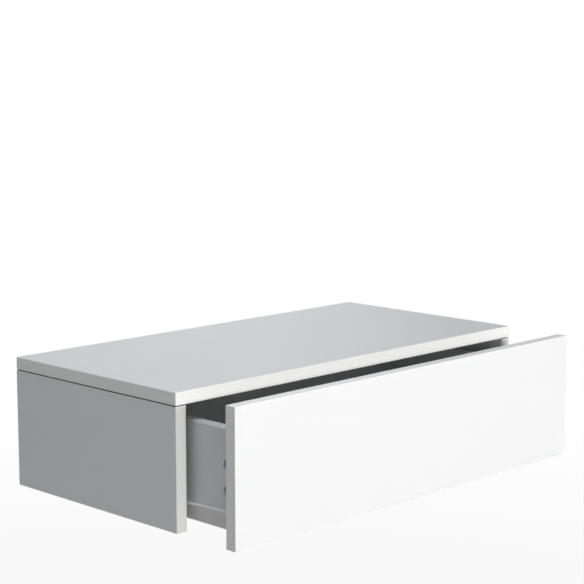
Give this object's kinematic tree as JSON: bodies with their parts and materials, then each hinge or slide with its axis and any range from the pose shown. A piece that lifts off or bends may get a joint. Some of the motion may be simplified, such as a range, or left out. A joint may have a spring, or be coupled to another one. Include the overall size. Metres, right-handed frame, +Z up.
{
  "type": "floating nightstand",
  "caption": "Shallow wall-hung nightstand of white boards, open below, with a full-width drawer on roller runners behind a plain overlay front without a handle.",
  "frame": {"origin": "centre of the back board's rear face, which lies on the wall", "axes": "+X to the right along the width, +Y into the wall, +Z up; the drawer opens towards -Y"},
  "size_m": [0.64, 0.414, 0.1712],
  "materials": {
    "board": "white melamine-faced chipboard with white edging, satin",
    "hardboard": "thin white-faced fibreboard, satin",
    "runner": "white epoxy powder coat, satin",
    "roller": "off-white nylon, matt",
    "zinc": "die-cast zinc, bluish, satin",
    "steel": "bright zinc-plated steel",
    "beech": "raw beech"
  },
  "bodies": {
    "cabinet": {"top_panel": "board", "left_side_panel": "board", "right_side_panel": "board", "back_panel": "board", "cabinet_runner_left": "runner", "cabinet_runner_right": "runner", "front_axle_left": "steel", "front_axle_right": "steel", "cabinet_runner_screw_left_front": "steel", "cabinet_runner_screw_left_rear": "steel", "cabinet_runner_screw_right_front": "steel", "cabinet_runner_screw_right_rear": "steel", "top_cam_left_front": "zinc", "top_cam_left_rear": "zinc", "top_cam_right_front": "zinc", "top_cam_right_rear": "zinc", "top_cam_bolt_left_front": "steel", "top_cam_bolt_left_rear": "steel", "top_cam_bolt_right_front": "steel", "top_cam_bolt_right_rear": "steel", "top_dowel_left_front": "beech", "top_dowel_left_rear": "beech", "top_dowel_right_front": "beech", "top_dowel_right_rear": "beech", "back_cam_left": "zinc", "back_cam_right": "zinc", "back_cam_bolt_left": "steel", "back_cam_bolt_right": "steel", "back_dowel_left": "beech", "back_dowel_right": "beech"},
    "drawer": {"drawer_front": "board", "drawer_left_side": "board", "drawer_right_side": "board", "drawer_back": "board", "drawer_bottom": "hardboard", "drawer_runner_left": "runner", "drawer_runner_right": "runner", "rear_axle_left": "steel", "rear_axle_right": "steel", "drawer_runner_screw_left_front": "steel", "drawer_runner_screw_left_rear": "steel", "drawer_runner_screw_right_front": "steel", "drawer_runner_screw_right_rear": "steel", "drawer_back_screw_left_lower": "steel", "drawer_back_screw_left_upper": "steel", "drawer_back_screw_right_lower": "steel", "drawer_back_screw_right_upper": "steel", "front_cam_left_lower": "zinc", "front_cam_left_upper": "zinc", "front_cam_right_lower": "zinc", "front_cam_right_upper": "zinc", "front_cam_bolt_left_lower": "steel", "front_cam_bolt_left_upper": "steel", "front_cam_bolt_right_lower": "steel", "front_cam_bolt_right_upper": "steel"},
    "left_front_wheel": {"front_roller_left": "roller"},
    "right_front_wheel": {"front_roller_right": "roller"},
    "left_rear_wheel": {"rear_roller_left": "roller"},
    "right_rear_wheel": {"rear_roller_right": "roller"}
  },
  "joints": [
    {"name": "drawer_slide", "type": "slide", "parent": "cabinet", "child": "drawer", "axis": [0, -1, 0], "range_m": [-0.083, 0.115]},
    {"name": "left_front_roller_spin", "type": "hinge", "parent": "cabinet", "child": "left_front_wheel", "pos_m": [-0.2988, -0.291, -0.0536], "axis": [1, 0, 0], "continuous": true},
    {"name": "right_front_roller_spin", "type": "hinge", "parent": "cabinet", "child": "right_front_wheel", "pos_m": [0.2988, -0.291, -0.0536], "axis": [1, 0, 0], "continuous": true},
    {"name": "left_rear_roller_spin", "type": "hinge", "parent": "drawer", "child": "left_rear_wheel", "pos_m": [-0.2967, -0.154, -0.0536], "axis": [1, 0, 0], "continuous": true},
    {"name": "right_rear_roller_spin", "type": "hinge", "parent": "drawer", "child": "right_rear_wheel", "pos_m": [0.2967, -0.154, -0.0536], "axis": [1, 0, 0], "continuous": true}
  ],
  "couplings": [
    {"joint": "left_front_roller_spin", "follows": "drawer_slide", "rad_per_m": 125},
    {"joint": "right_front_roller_spin", "follows": "drawer_slide", "rad_per_m": 125},
    {"joint": "left_rear_roller_spin", "follows": "drawer_slide", "rad_per_m": 125},
    {"joint": "right_rear_roller_spin", "follows": "drawer_slide", "rad_per_m": 125}
  ]
}
